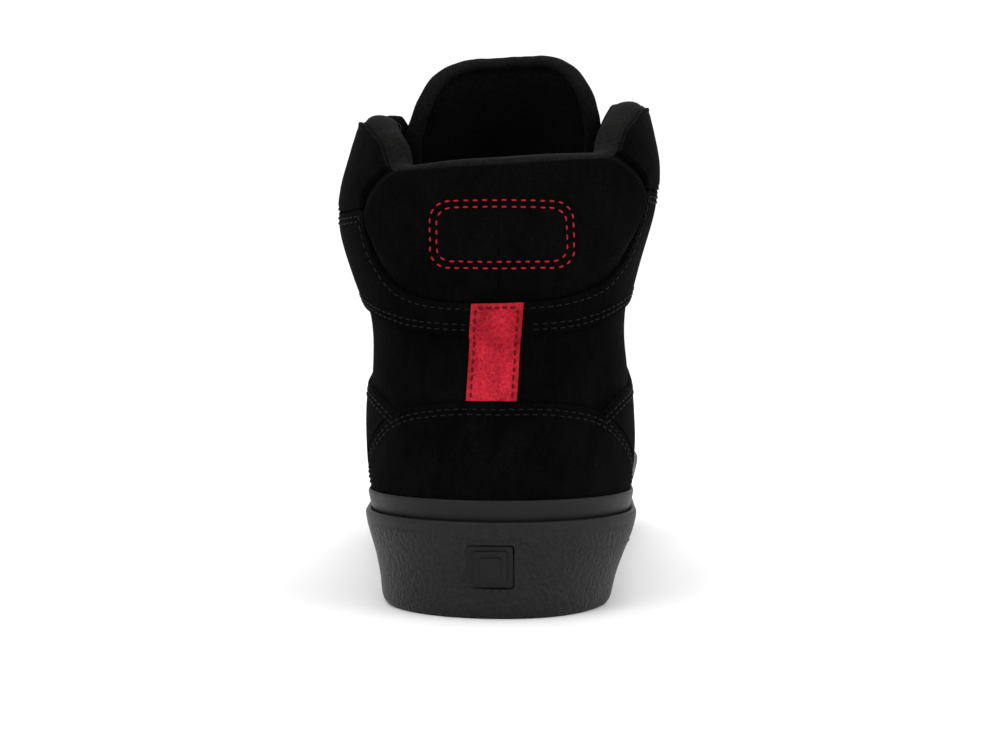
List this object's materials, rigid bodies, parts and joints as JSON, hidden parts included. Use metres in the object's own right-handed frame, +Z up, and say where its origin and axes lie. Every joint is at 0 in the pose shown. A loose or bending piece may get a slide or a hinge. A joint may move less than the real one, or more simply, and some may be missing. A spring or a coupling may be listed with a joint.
{
  "type": "basketball high top",
  "caption": "Left-foot high-top shoe: suede panels over a cupped rubber sole, padded U-shaped collar back with stitched rectangle, red heel strip and padded tongue.",
  "frame": {"origin": "on the ground, under the middle of the shoe's bounding box", "axes": "+Y towards the toe, +X towards the inner (medial) side, +Z up"},
  "size_m": [0.1006, 0.2961, 0.1725],
  "materials": {
    "outsole_rubber": "matt, fine-grained",
    "band_rubber": "smooth satin",
    "badge_rubber": "matt relief",
    "midsole_foam": "foam",
    "board_fabric": "felted",
    "footbed_foam": "brushed textile over foam",
    "stiffener_plastic": "raw sheet",
    "suede_black": "napped suede",
    "suede_red": "napped suede",
    "lining_textile": "soft knit",
    "padding_foam": "open-cell foam",
    "binding_textile": "rolled edge",
    "eyelet_metal": "black enamel"
  },
  "bodies": {
    "shoe": {"outsole_cup": "outsole_rubber", "foxing_band": "band_rubber", "heel_badge": "badge_rubber", "midsole_foam": "midsole_foam", "lasting_board": "board_fabric", "footbed": "footbed_foam", "heel_counter_stiffener": "stiffener_plastic", "toe_puff": "stiffener_plastic", "quarter_medial": "suede_black", "quarter_lateral": "suede_black", "vamp": "suede_black", "saddle_medial": "suede_black", "saddle_lateral": "suede_black", "mudguard": "suede_black", "heel_overlay": "suede_black", "ankle_strap_medial": "suede_black", "ankle_strap_lateral": "suede_black", "collar_wing_medial": "suede_black", "collar_wing_lateral": "suede_black", "eyestay_medial": "suede_black", "eyestay_lateral": "suede_black", "collar_back_panel": "suede_black", "heel_strip": "suede_red", "quarter_lining": "lining_textile", "vamp_lining": "lining_textile", "collar_foam": "padding_foam", "eyelets_medial": "eyelet_metal", "eyelets_lateral": "eyelet_metal"},
    "tongue": {"tongue_cover": "suede_black", "tongue_foam": "padding_foam", "tongue_lining": "lining_textile", "tongue_binding": "binding_textile", "lace_keeper": "binding_textile"},
    "tongue_top": {"tongue_cover_top": "suede_black", "tongue_foam_top": "padding_foam", "tongue_lining_top": "lining_textile", "tongue_binding_top": "binding_textile"}
  },
  "joints": [
    {"name": "tongue_hinge", "type": "hinge", "parent": "shoe", "child": "tongue", "pos_m": [0, 0.0499, 0.0707], "axis": [1, 0, 0], "range_deg": [0, 12], "stiffness_Nm_per_rad": 1.2, "springref_deg": -3.44},
    {"name": "tongue_fold", "type": "hinge", "parent": "tongue", "child": "tongue_top", "pos_m": [0, -0.0376, 0.151], "axis": [-1, 0, 0], "range_deg": [0, 45], "stiffness_Nm_per_rad": 0.1, "springref_deg": -3.44}
  ]
}
